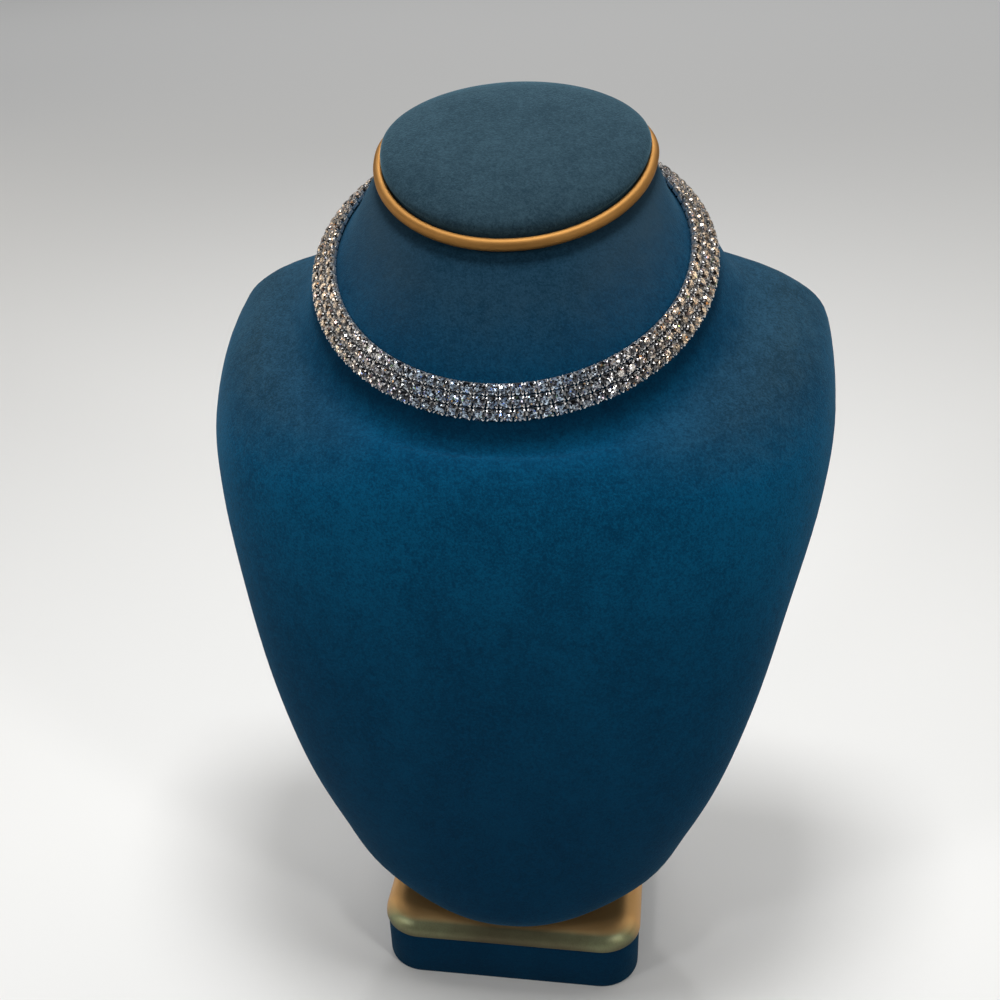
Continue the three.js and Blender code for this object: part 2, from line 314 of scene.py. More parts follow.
@dataclass(frozen=True)
class Velvet:
    """Short-pile velvet with a mottled nap and a soft sheen. Metres.

    Each region goes from its deep to its lit colour. The neck is painted darker and greyer, as
    painted shade under the ring and pad with some painted sheen; the sides of the neck and the
    up-facing shoulders are painted greyer, as painted sheen; and a painted shadow lies on the
    chest just under the choker. The shades are heights on the chest, with how far its colour goes
    there towards the shaded one: painted shade, darker towards the bottom and under the choker.
    """

    name: str = "teal_velvet"
    chest: ColourPair = ((0.0006, 0.0425, 0.1), (0.0018, 0.085, 0.185))
    neck: ColourPair = ((0.004, 0.022, 0.042), (0.011, 0.04, 0.071))
    shoulder: ColourPair = ((0.0095, 0.0295, 0.049), (0.0197, 0.061, 0.1016))
    lie_limits: Limits = (0.42, 0.58)
    shaded: Colour = (0.0003, 0.0098, 0.028)
    shades: tuple[tuple[float, float], ...] = (
        (0.03, 0.8), (0.08, 0.72), (0.119, 0.6), (0.162, 0.43), (0.198, -0.1),
        (0.214, 0.32), (0.232, 0.48),
    )
    shades_reach: float = 0.25
    band_middle: Triple = (0.0, 0.0194, 0.2621)
    band_rise: Triple = (0.0, -0.5, 0.866)
    neck_limits: Limits = (0.001, 0.014)
    neck_fray: float = 0.006
    neck_side_painted_sheen: Colour = (0.024, 0.046, 0.067)
    neck_side_sheen_limits: Limits = (0.018, 0.046)
    neck_side_sheen_share: float = 0.62
    shoulder_limits: Limits = (0.035, 0.088)
    upward_limits: Limits = (0.36, 0.8)
    shoulder_fray: float = 0.3
    choker_shadow_upper: Limits = (0.002, 0.0045)
    choker_shadow_lower: Limits = (0.0085, 0.0112)
    choker_shadow_strength: float = 0.42
    roughness: Limits = (0.85, 1.0)
    gloss: float = 0.04
    sheen: float = 0.1
    sheen_tint: Colour = (0.38, 0.72, 0.9)
    sheen_spread: float = 0.4
    relief: float = 0.7
    relief_depth: float = 0.0004
    layers: tuple[Layer, ...] = (
        Layer(42.0, 3.0, 0.18, roughness=0.55, stretch=(1.0, 1.0, 0.45)),
        Layer(170.0, 3.0, 0.14),
        Layer(520.0, 2.0, 0.19, 0.3),
        Layer(1350.0, 1.0, 0.3, 0.4),
        Layer(3200.0, 1.0, 0.19, 0.3),
    )

    def material(self) -> Material:
        """Builds the shader.

        Returns:
            The material.
        """
        board = ShaderBoard(self.name)
        (_, patches, _, grain, _), lie, texture = board.layered(self.layers)
        fray = patches - 0.5
        place, apart = board.place(), board.apart()
        height = board.axes(place)[2]
        up = board.axes(board.facing())[2]
        from_band = board.vectors("SUBTRACT", {0: place, 1: self.band_middle})
        over_band = board.vectors("DOT_PRODUCT", {0: from_band, 1: self.band_rise})
        # Painted shade and painted sheen: the neck takes its own darker, greyer colour.
        neck = board.spread(over_band + fray * self.neck_fray, *self.neck_limits)
        # Painted shadow: a band of the chest just under the choker is darkened.
        under = 0.0 - over_band
        choker_shadow_fade = 1.0 - board.spread(under, *self.choker_shadow_lower)
        choker_shadow = board.spread(under, *self.choker_shadow_upper) * choker_shadow_fade
        # Painted sheen: the up-facing shoulders take their own greyer colour.
        upward = board.spread(up + fray * self.shoulder_fray, *self.upward_limits)
        shoulder = board.spread(apart, *self.shoulder_limits) * upward
        stops = [(level / self.shades_reach, (share,) * 3) for level, share in self.shades]
        shade = board.ramp(height * (1 / self.shades_reach), stops, "B_SPLINE")
        chest, shoulder_painted_sheen, top = (
            board.blend(lie, self.lie_limits, *pair)
            for pair in (self.chest, self.shoulder, self.neck)
        )
        chest = board.mix(shade, chest, self.shaded)
        # Painted shadow under the choker.
        chest = board.mix(choker_shadow * self.choker_shadow_strength, chest, self.shaded)
        # Painted sheen: the sides of the neck go towards a greyer colour.
        neck_side_painted_sheen = board.spread(apart, *self.neck_side_sheen_limits) * self.neck_side_sheen_share
        top = board.mix(neck_side_painted_sheen, top, self.neck_side_painted_sheen)
        return board.finish({
            "Base Color": board.mix(neck, board.mix(shoulder, chest, shoulder_painted_sheen), top),
            "Roughness": grain.between(*self.roughness),
            "Specular IOR Level": self.gloss,
            "Sheen Weight": self.sheen,
            "Sheen Roughness": self.sheen_spread,
            "Sheen Tint": (*self.sheen_tint, 1.0),
            "Normal": board.bump(texture, self.relief, self.relief_depth),
        })


@dataclass(frozen=True)
class SatinGold:
    """Satin gold-coloured metal with fine rubbing marks. Metres.

    Level faces have their own colour, which side and rear faces can share; on the cap it is a
    painted reflection tint. Upright faces and the middle can be painted darker, as painted shade.
    """

    name: str = "satin_gold"
    bright: Colour = (0.35, 0.18, 0.053)
    dull: Colour = (0.26, 0.128, 0.035)
    tone_limits: Limits = (0.35, 0.65)
    level: Colour = (0.35, 0.18, 0.053)
    level_limits: Limits = (0.65, 1.0)
    front_limits: Limits = (-2.0, -1.5)
    painted_shade_dark: Colour = (0.052, 0.034, 0.019)
    upright_shade_limits: Limits = (0.1, 0.5)
    upright_shade_share: float = 1.0
    middle_shade_limits: Limits = (0.008, 0.042)
    middle_shade_share: float = 1.0
    roughness: Limits = (0.56, 0.66)
    metallic: float = 1.0
    bloom: Layer = Layer(60.0, 3.0, 0.7, 0.5)
    rubbing: Layer = Layer(3600.0, 2.0, 0.3, 0.5)
    mark_depth: float = 0.000002

    def material(self) -> Material:
        """Builds the shader.

        Returns:
            The material.
        """
        board = ShaderBoard(self.name)
        (_, rubbed), tone, texture = board.layered((self.bloom, self.rubbing))
        colour = board.blend(tone, self.tone_limits, self.dull, self.bright)
        _, back, up = board.axes(board.facing())
        front = board.spread(0.0 - back, *self.front_limits)
        upright = 1.0 - board.spread(up, *self.level_limits)
        # Painted shade: the middle and the upright faces are darkened.
        apart = board.spread(board.apart(), *self.middle_shade_limits)
        tipped = board.spread(up, *self.upright_shade_limits)
        unshaded = apart.between(self.middle_shade_share, 1.0) * tipped.between(self.upright_shade_share, 1.0)
        colour = board.mix(unshaded, self.painted_shade_dark, colour)
        return board.finish({
            # On the cap, the level colour on level, side and rear faces is a painted reflection
            # tint.
            "Base Color": board.mix(upright * front, self.level, colour),
            "Metallic": self.metallic,
            "Roughness": texture.between(*self.roughness),
            "Normal": board.bump(rubbed, 1.0, self.mark_depth),
        })


@dataclass(frozen=True)
class SilverSetting:
    """Bright silver-coloured metal of the cups and claws, with a little tarnish in it. Metres."""

    bright: Colour = (0.95, 0.95, 0.95)
    tarnish: Colour = (0.62, 0.62, 0.63)
    tone_limits: Limits = (0.35, 0.65)
    cloud: Layer = Layer(420.0, 3.0, 1.0, 0.6)
    marks: Layer = Layer(4200.0, 1.0, 0.0, 0.4, roughness=0.5)
    metallic: float = 0.92
    roughness: Limits = (0.2, 0.4)
    relief: float = 0.1
    mark_depth: float = 0.00004

    def material(self) -> Material:
        """Builds the shader.

        Returns:
            The material.
        """
        board = ShaderBoard("bright_silver")
        (_, marks), tone, texture = board.layered((self.cloud, self.marks))
        return board.finish({
            "Base Color": board.blend(tone, self.tone_limits, self.tarnish, self.bright),
            "Metallic": self.metallic,
            "Roughness": texture.between(*self.roughness),
            "Normal": board.bump(marks, self.relief, self.mark_depth),
        })


@dataclass(frozen=True)
class CutStone:
    """Foil-backed clear stone: each facet has its own tone and throws light its own way.

    Each facet's tone, from near black to white, is painted reflection and highlight. The stones
    are painted cooler in front and warmer and brighter towards the sides, as painted reflection
    and painted light. Metres.
    """

    tones: tuple[tuple[float, Colour], ...] = (
        (0.0, (0.01, 0.011, 0.014)),
        (0.26, (0.05, 0.055, 0.07)),
        (0.44, (0.17, 0.2, 0.26)),
        (0.54, (0.22, 0.18, 0.22)),
        (0.62, (0.44, 0.5, 0.6)),
        (0.72, (0.56, 0.5, 0.47)),
        (0.77, (0.96, 0.98, 1.0)),
    )
    fires: tuple[tuple[float, Colour], ...] = (
        (0.0, (0.95, 0.55, 0.25)),
        (0.986, (0.25, 0.4, 1.0)),
        (0.995, (0.5, 0.85, 0.4)),
    )
    fire_from: float = 0.975
    milky_from: float = 0.62
    milky: float = 0.3
    cool: Colour = (0.7, 0.84, 0.98)
    warm: Colour = (1.0, 0.75, 0.51)
    warm_limits: Limits = (0.022, 0.056)
    painted_light_shares: Limits = (0.5, 1.0)
    warm_lift: float = 0.08
    dim: Colour = (0.5, 0.5, 0.5)
    clear: Colour = (1.0, 1.0, 1.0)
    cloud: Layer = Layer(170.0, 0.0, roughness=0.5)
    cloud_limits: Limits = (0.3, 0.6)
    spread: float = 0.32
    roughness: float = 0.07
    coat_roughness: float = 0.02
    coat_ior: float = 1.56

    def material(self) -> Material:
        """Builds the shader.

        Returns:
            The material.
        """
        board = ShaderBoard("clear_cut_stone")
        chance, painted_light, play = map(board.stored, ("facet_tone", "facet_painted_light", "facet_play"))
        # Painted reflection and painted light: warmer and brighter towards the sides, cooler in
        # front.
        warmth = board.spread(board.apart(), *self.warm_limits)
        # Painted light and shade by kind of facet, brighter towards the sides.
        tone = chance + painted_light * warmth.between(*self.painted_light_shares) + warmth * self.warm_lift
        # Painted reflections and highlights: each facet's tone, from near black to white.
        plain = board.ramp(tone, self.tones, "CONSTANT")
        # Painted glints: a few facets take a fiery colour.
        fiery = board.maths("GREATER_THAN", chance, self.fire_from)
        colour = board.mix(fiery, plain, board.ramp(chance, self.fires, "CONSTANT"))
        tinted = board.mix(1.0, colour, board.mix(warmth, self.cool, self.warm), "MULTIPLY")
        shade = board.blend(board.noise(self.cloud), self.cloud_limits, self.dim, self.clear)
        turn = board.stored("facet_turn", "Vector")
        push = board.vectors("SCALE", {0: turn, "Scale": play * self.spread})
        aim = board.vectors("ADD", {0: board.facing(), 1: push})
        return board.finish({
            "Base Color": board.mix(1.0, tinted, shade, "MULTIPLY"),
            "Metallic": 1.0 - board.maths("GREATER_THAN", tone, self.milky_from) * self.milky,
            "Roughness": self.roughness,
            "Coat Weight": 1.0,
            "Coat Roughness": self.coat_roughness,
            "Coat IOR": self.coat_ior,
            "Normal": board.vectors("NORMALIZE", {0: aim}),
        })


# Meshes


def new_object(name: str, data: bpy.types.ID) -> Item:
    """Puts a new object into the scene.

    Args:
        name: Its name.
        data: Its mesh, lamp or camera.

    Returns:
        The object, at the origin.
    """
    item = bpy.data.objects.new(name, data)
    bpy.context.scene.collection.objects.link(item)
    return item


def mesh_from(name: str, points: Sequence[Vector], faces: Sequence[Face]) -> bpy.types.Mesh:
    """Makes a mesh with merged doubles and its faces outwards.

    Args:
        name: The mesh's name.
        points: The points in millimetres.
        faces: The faces as places in the points.

    Returns:
        The mesh.
    """
    mesh = bpy.data.meshes.new(name)
    mesh.from_pydata([tuple(point * MM) for point in points], [], faces)
    work = bmesh.new()
    work.from_mesh(mesh)
    bmesh.ops.remove_doubles(work, verts=work.verts, dist=MERGE_WITHIN)
    bmesh.ops.recalc_face_normals(work, faces=work.faces)
    work.to_mesh(mesh)
    work.free()
    mesh.update()
    return mesh


def add_closed_body(points: list[Vector], faces: list[Face], rings: Sequence[Ring]) -> None:
    """Adds a body through rings of points, closed at both ends, to a growing mesh.

    Args:
        points: The mesh's points so far.
        faces: Its faces so far. The two ends come last.
        rings: The body's rings, all with as many points.
    """
    first, count = len(points), len(rings[0])
    last = first + (len(rings) - 1) * count
    points.extend(point for ring in rings for point in ring)
    for lower in range(first, last, count):
        for step in range(count):
            here, after = lower + step, lower + (step + 1) % count
            faces.append((here, after, after + count, here + count))
    faces.extend(tuple(range(start, start + count)) for start in (first, last))


def loft(name: str, rings: Sequence[Ring], finish: Material, sharp_over: float = STRAIGHT) -> Item:
    """A smooth closed body through rings of points, with a fan over each end.

    Args:
        name: The piece's name.
        rings: The rings in millimetres, all the same way round.
        finish: The piece's material.
        sharp_over: Edges over this angle in degrees stay sharp.

    Returns:
        The piece.
    """
    points: list[Vector] = []
    faces: list[Face] = []
    add_closed_body(points, faces, rings)
    ends = faces[-2:]
    del faces[-2:]
    for end, ring in zip(ends, (rings[0], rings[-1])):
        faces.extend((len(points), *edge) for edge in zip(end, end[1:] + end[:1]))
        points.append(sum(ring, Vector()) / len(ring))
    piece = new_object(name, mesh_from(name, points, faces))
    piece.data.shade_smooth()
    if sharp_over < STRAIGHT:
        piece.data.set_sharp_from_angle(angle=math.radians(sharp_over))
    piece.data.materials.append(finish)
    return piece


def oval(
    angle: float, half_width: float, front: float, back: float, fullness: float = 2.0
) -> Vector:
    """A point on an oval whose front and back have their own depths.

    Args:
        angle: The angle round from the front.
        half_width: The reach to each side.
        front: The reach forwards.
        back: The reach backwards.
        fullness: 2 is an ellipse, and more is squarer.

    Returns:
        The point, level.
    """
    side, ahead = math.sin(angle), math.cos(angle)
    power = 2 / fullness
    depth = front if ahead > 0 else back
    return Vector((
        half_width * math.copysign(abs(side) ** power, side),
        -depth * math.copysign(abs(ahead) ** power, ahead),
        0.0,
    ))


def tilted(point: Vector, degrees: float) -> Vector:
    """Turns a point about the X axis."""
    return Matrix.Rotation(math.radians(degrees), 3, "X") @ point


def turns(count: int) -> list[float]:
    """Equal angles all the way round."""
    return [FULL_TURN * step / count for step in range(count)]


def rounding(steps: int) -> list[tuple[float, float]]:
    """How far in and how far down a rounded edge of size 1 is, from its side to its top."""
    angles = [QUARTER_TURN * step / steps for step in range(steps + 1)]
    return [(1 - math.cos(angle), 1 - math.sin(angle)) for angle in angles]


def circle(count: int, start: float, radius: float, height: float) -> Ring:
    """Equally spaced points on a level circle round the Z axis, from a start angle."""
    angles = [turn + start for turn in turns(count)]
    return [Vector((radius * math.cos(turn), radius * math.sin(turn), height)) for turn in angles]


def strip(half: float, first: Limits, second: Limits) -> Ring:
    """The corners of a flat strip across the Y axis, from the X and Z of its two edges."""
    corners = ((first, -half), (first, half), (second, half), (second, -half))
    return [Vector((x, y, z)) for (x, z), y in corners]


def smooth_path(keys: Sequence[Vector], steps: int) -> list[Vector]:
    """A centripetal curve through points.

    Args:
        keys: The points that it passes.
        steps: How many pieces lie between two of them.

    Returns:
        The curve's points.
    """
    padded = [2 * keys[0] - keys[1], *keys, 2 * keys[-1] - keys[-2]]
    path = []
    for before, start, end, after in zip(padded, padded[1:], padded[2:], padded[3:]):
        spans = ((before, start), (start, end), (end, after))
        first, middle, last = (max((b - a).length ** 0.5, LEAST_SPAN) for a, b in spans)
        chord = (end - start) / middle
        leave = (start - before) / first - (end - before) / (first + middle) + chord
        arrive = chord - (after - start) / (middle + last) + (after - end) / last
        leave, arrive = leave * middle, arrive * middle
        bend = 3 * end - 3 * start - 2 * leave - arrive
        twist = 2 * start - 2 * end + leave + arrive
        for share in (step / steps for step in range(steps)):
            path.append(start + leave * share + bend * share**2 + twist * share**3)
    path.append(keys[-1].copy())
    return path


# Geometry Nodes


class NodeRecipe(Board):
    """One Geometry Nodes tree with named inputs, put on an object and then baked into it."""

    def __init__(self, name: str) -> None:
        """Starts a tree that takes and gives geometry.

        Args:
            name: The tree's name.
        """
        super().__init__(bpy.data.node_groups.new(name, "GeometryNodeTree"))
        for way in ("INPUT", "OUTPUT"):
            self.tree.interface.new_socket("Geometry", in_out=way, socket_type="NodeSocketGeometry")
        self.values: dict[str, Any] = {}
        self.entry = self.tree.nodes.new("NodeGroupInput")
        self.exit = self.tree.nodes.new("NodeGroupOutput")

    def given(self, name: str = "Geometry") -> Wire:
        """One of the tree's inputs."""
        return Wire(self, self.entry.outputs[name])

    def size(self, name: str, kind: str, value: Any) -> Wire:
        """Adds a named input.

        Args:
            name: The input's name.
            kind: Its socket type.
            value: The value that the piece gives it.

        Returns:
            The input.
        """
        item = self.tree.interface.new_socket(name, in_out="INPUT", socket_type=kind)
        self.values[item.identifier] = value
        return self.given(name)

    def random_vector(self, seed: Wire) -> Wire:
        """A random vector, each axis from -1 to 1."""
        sockets = {0: (-1.0, -1.0, -1.0), 1: (1.0, 1.0, 1.0), "Seed": seed}
        return self.wire("FunctionNodeRandomValue", {"data_type": "FLOAT_VECTOR"}, sockets)

    def on_points(self, model: Wire, rotation: Wire) -> Wire:
        """A model on every point that the tree takes, made real.

        Args:
            model: The model's object.
            rotation: How it is turned on each point.

        Returns:
            The geometry.
        """
        shape = self.wire("GeometryNodeObjectInfo", None, {"Object": model}, "Geometry")
        sockets = {"Points": self.given(), "Instance": shape, "Rotation": rotation}
        spread = self.wire("GeometryNodeInstanceOnPoints", None, sockets)
        return self.wire("GeometryNodeRealizeInstances", None, {"Geometry": spread})

    def store(self, geometry: Wire, name: str, kind: str, value: Wire) -> Wire:
        """Keeps a value of a data type on every face, under a name."""
        sockets = {"Geometry": geometry, "Name": name, "Value": value}
        return self.wire(
            "GeometryNodeStoreNamedAttribute", {"data_type": kind, "domain": "FACE"}, sockets
        )

    def dress(self, geometry: Wire, finish: Material) -> Wire:
        """Puts a material on geometry."""
        sockets = {"Geometry": geometry, "Material": finish}
        return self.wire("GeometryNodeSetMaterial", None, sockets)

    def bake(self, item: Item, result: Wire) -> None:
        """Runs the tree on an object and keeps the outcome as its plain mesh.

        Args:
            item: The object that carries the input geometry.
            result: The geometry that the tree gives.
        """
        self.tree.links.new(result.socket, self.exit.inputs[0])
        modifier = item.modifiers.new(self.tree.name, "NODES")
        modifier.node_group = self.tree
        for identifier, value in self.values.items():
            modifier[identifier] = value
        bpy.context.view_layer.update()
        graph = bpy.context.evaluated_depsgraph_get()
        mesh = bpy.data.meshes.new_from_object(
            item.evaluated_get(graph), preserve_all_data_layers=True, depsgraph=graph
        )
        item.modifiers.remove(modifier)
        item.data = mesh


# Choker


@dataclass
class ChokerLoop:
    """The line of the middle row and how its face leans. Millimetres and degrees.

    The seat's step, over which the way along the row is taken, is in radians.
    """

    centre: Vector
    half_width: float = 62.3
    front: float = 60.8
    back: float = 59.0
    tilt: float = 30.0
    lean_front: float = 37.0
    lean_side: float = 46.0
    lean_back: float = 38.0
    ruler_steps: int = 1440
    seat_step: float = 0.002
    lengths: list[float] = field(default_factory=list)

    def __post_init__(self) -> None:
        """Measures the line once."""
        marks = range(self.ruler_steps + 1)
        spots = [self.local(self._ruler_angle(mark), 0, 0) for mark in marks]
        self.lengths = [0.0]
        for last, here in zip(spots, spots[1:]):
            self.lengths.append(self.lengths[-1] + (here - last).length)

    def _ruler_angle(self, mark: float) -> float:
        """The angle of a mark on the ruler, counted from the back."""
        return -math.pi + FULL_TURN * mark / self.ruler_steps

    def angle_at(self, length: float) -> float:
        """The angle at a length along the line.

        Args:
            length: The length in millimetres, counted from the back.

        Returns:
            The angle round from the front.
        """
        length %= self.lengths[-1]
        above = next(i for i, mark in enumerate(self.lengths) if mark >= length and i > 0)
        below = self.lengths[above - 1]
        return self._ruler_angle(above - 1 + (length - below) / (self.lengths[above] - below))

    def axes(self, angle: float) -> tuple[Vector, Vector]:
        """The way out of the face and the way up across the rows, before the tilt.

        Args:
            angle: The angle round from the front.

        Returns:
            Both ways, as unit vectors.
        """
        depth = self.front if math.cos(angle) > 0 else self.back
        out = Vector((math.sin(angle) / self.half_width, -math.cos(angle) / depth, 0)).normalized()
        ends = (self.lean_front + self.lean_back) / 2
        lean = math.radians(
            (ends + self.lean_side) / 2
            + (self.lean_front - self.lean_back) / 2 * math.cos(angle)
            + (ends - self.lean_side) / 2 * math.cos(2 * angle)
        )
        face = out * math.cos(lean) + Vector((0, 0, math.sin(lean)))
        rise = -out * math.sin(lean) + Vector((0, 0, math.cos(lean)))
        return face, rise

    def local(self, angle: float, across: float, height: float) -> Vector:
        """A point in the loop's own plane, so far up across the rows and out of the face."""
        face, rise = self.axes(angle)
        return oval(angle, self.half_width, self.front, self.back) + rise * across + face * height

    def point(self, angle: float, across: float, height: float) -> Vector:
        """The same point in the part's frame."""
        return self.centre + tilted(self.local(angle, across, height), self.tilt)

    def seat(self, angle: float, across: float) -> tuple[Vector, Vector, Vector]:
        """Where a stone sits: the place, the way out and the way along."""
        before, place, after = (
            self.point(angle + way * self.seat_step, across, 0) for way in (-1, 0, 1)
        )
        return place, tilted(self.axes(angle)[0], self.tilt), (after - before).normalized()


@dataclass(frozen=True)
class ClawStation:
    """Where a claw passes, measured from the stone's middle, and how thick it is there."""

    reach: float
    height: float
    width: float
    thickness: float

    def ring(self) -> Ring:
        """The claw's corners there, the outer two first."""
        inner = (self.reach - self.thickness, self.height - self.thickness)
        return strip(self.width / 2, (self.reach, self.height), inner)


@dataclass
class StoneCell:
    """One stone with its square cup and four claws, in its own axes. Millimetres.

    Each kind of facet is painted brighter or darker by its own amount, as painted light and
    shade: the table's middle, its rim, stars, kites and the two halves of the girdle facets.
    """

    pitch: float = 4.0
    sides: int = 8
    girdle: float = 1.8
    girdle_height: float = -0.2
    girdle_thickness: float = 0.1
    table: float = 1.0
    table_height: float = 0.4
    table_middle: float = 0.5
    table_play: float = 0.55
    level_from: float = 0.99
    culet: float = -1.5
    # Painted light and shade on each kind of facet.
    painted_facet_lights: tuple[float, ...] = (0.34, 0.02, 0.12, -0.02, -0.22, -0.22)
    painted_light_below: float = -0.3
    cup_half: float = 1.72
    cup_depth: float = 2.0
    cup_taper: float = 0.36
    rim: float = -1.1
    wall: float = 0.22
    floor: float = -1.25
    corner: float = 0.25
    claw: tuple[ClawStation, ...] = (
        ClawStation(reach=1.96, height=-1.9, width=0.44, thickness=0.3),
        ClawStation(reach=2.3, height=-0.12, width=0.44, thickness=0.3),
        ClawStation(reach=1.922, height=0.1, width=0.396, thickness=0.2),
        ClawStation(reach=1.46, height=0.17, width=0.198, thickness=0.1),
    )
    link_half: float = 0.6
    link_overlap: float = 0.6
    link_heights: Limits = (0.1, 0.55)

    def stone(self) -> Item:
        """A brilliant cut: table, stars, kites, girdle facets and a pointed back.

        Returns:
            The stone's model, kept out of the scene.
        """
        sides, half_side = self.sides, math.pi / self.sides
        slope = (self.table_height - self.girdle_height) / (self.girdle - self.table)
        star = (self.girdle + self.table) / 2
        star_height = self.table_height - slope * (star * math.cos(half_side) - self.table)
        lower_height = self.girdle_height - self.girdle_thickness
        points = [
            *circle(sides, 0, self.table, self.table_height),
            *circle(sides, half_side, star, star_height),
            *circle(2 * sides, 0, self.girdle, self.girdle_height),
            *circle(2 * sides, 0, self.girdle, lower_height),
            Vector((0, 0, self.culet)),
            Vector((0, 0, self.table_height)),
            *circle(sides, half_side, self.table_middle, self.table_height),
        ]
        stars, edges, lowers, culet = sides, 2 * sides, 4 * sides, 6 * sides
        hub, inners = culet + 1, culet + 2
        faces: list[Face] = []
        for side in range(sides):
            after, before = (side + 1) % sides, (side - 1) % sides
            edge = edges + 2 * side
            middle, inner = stars + side, inners + side
            faces += [
                (hub, inners + before, side, inner),
                (inner, side, after),
                (side, middle, after),
                (side, stars + before, edge, middle),
                (middle, edge, edge + 1),
                (middle, edge + 1, edges + 2 * after),
            ]
        painted_facet_lights = list(self.painted_facet_lights) * sides
        for side in range(2 * sides):
            after = (side + 1) % (2 * sides)
            faces.append((edges + side, lowers + side, lowers + after, edges + after))
            faces.append((lowers + side, culet, lowers + after))
        painted_facet_lights += [self.painted_light_below] * (len(faces) - len(painted_facet_lights))
        stone = self._model("stone_model", points, faces)
        flats = [face.normal.z > self.level_from for face in stone.data.polygons]
        plays = [self.table_play if flat else 1.0 for flat in flats]
        for name, values in (("facet_play", plays), ("facet_painted_light", painted_facet_lights)):
            stone.data.attributes.new(name, "FLOAT", "FACE").data.foreach_set("value", values)
        return stone

    def setting(self) -> Item:
        """The cup, its four claws and the link to the next cup.

        Returns:
            The setting's model, kept out of the scene.
        """
        points: list[Vector] = []
        faces: list[Face] = []
        inner = self.cup_half - self.wall
        bodies = [[
            self._square(self.cup_half - self.cup_taper, -self.cup_depth),
            self._square(self.cup_half, self.rim),
            self._square(inner, self.rim),
            self._square(inner - self.cup_taper, self.floor),
        ]]
        claw = [station.ring() for station in self.claw]
        for quarter in range(4):
            turn = Matrix.Rotation((quarter + 0.5) * QUARTER_TURN, 3, "Z")
            bodies.append([[turn @ corner for corner in ring] for ring in claw])
        low, high = (height - self.cup_depth for height in self.link_heights)
        start = self.cup_half - self.link_overlap
        ends = (start, self.pitch - start)
        bodies.append([strip(self.link_half, (end, low), (end, high)) for end in ends])
        for rings in bodies:
            add_closed_body(points, faces, rings)
        return self._model("setting_model", points, faces)

    def _square(self, half: float, height: float) -> Ring:
        """A level square with cut corners.

        Args:
            half: Half its width.
            height: How high it lies.

        Returns:
            The points.
        """
        cut = half - self.corner
        corners = ((half, -cut), (half, cut), (cut, half), (-cut, half))
        return [Vector((x * sign, y * sign, height)) for sign in (1, -1) for x, y in corners]

    @staticmethod
    def _model(name: str, points: Sequence[Vector], faces: Sequence[Face]) -> Item:
        """A mesh object that only Geometry Nodes uses."""
        return bpy.data.objects.new(name, mesh_from(name, points, faces))


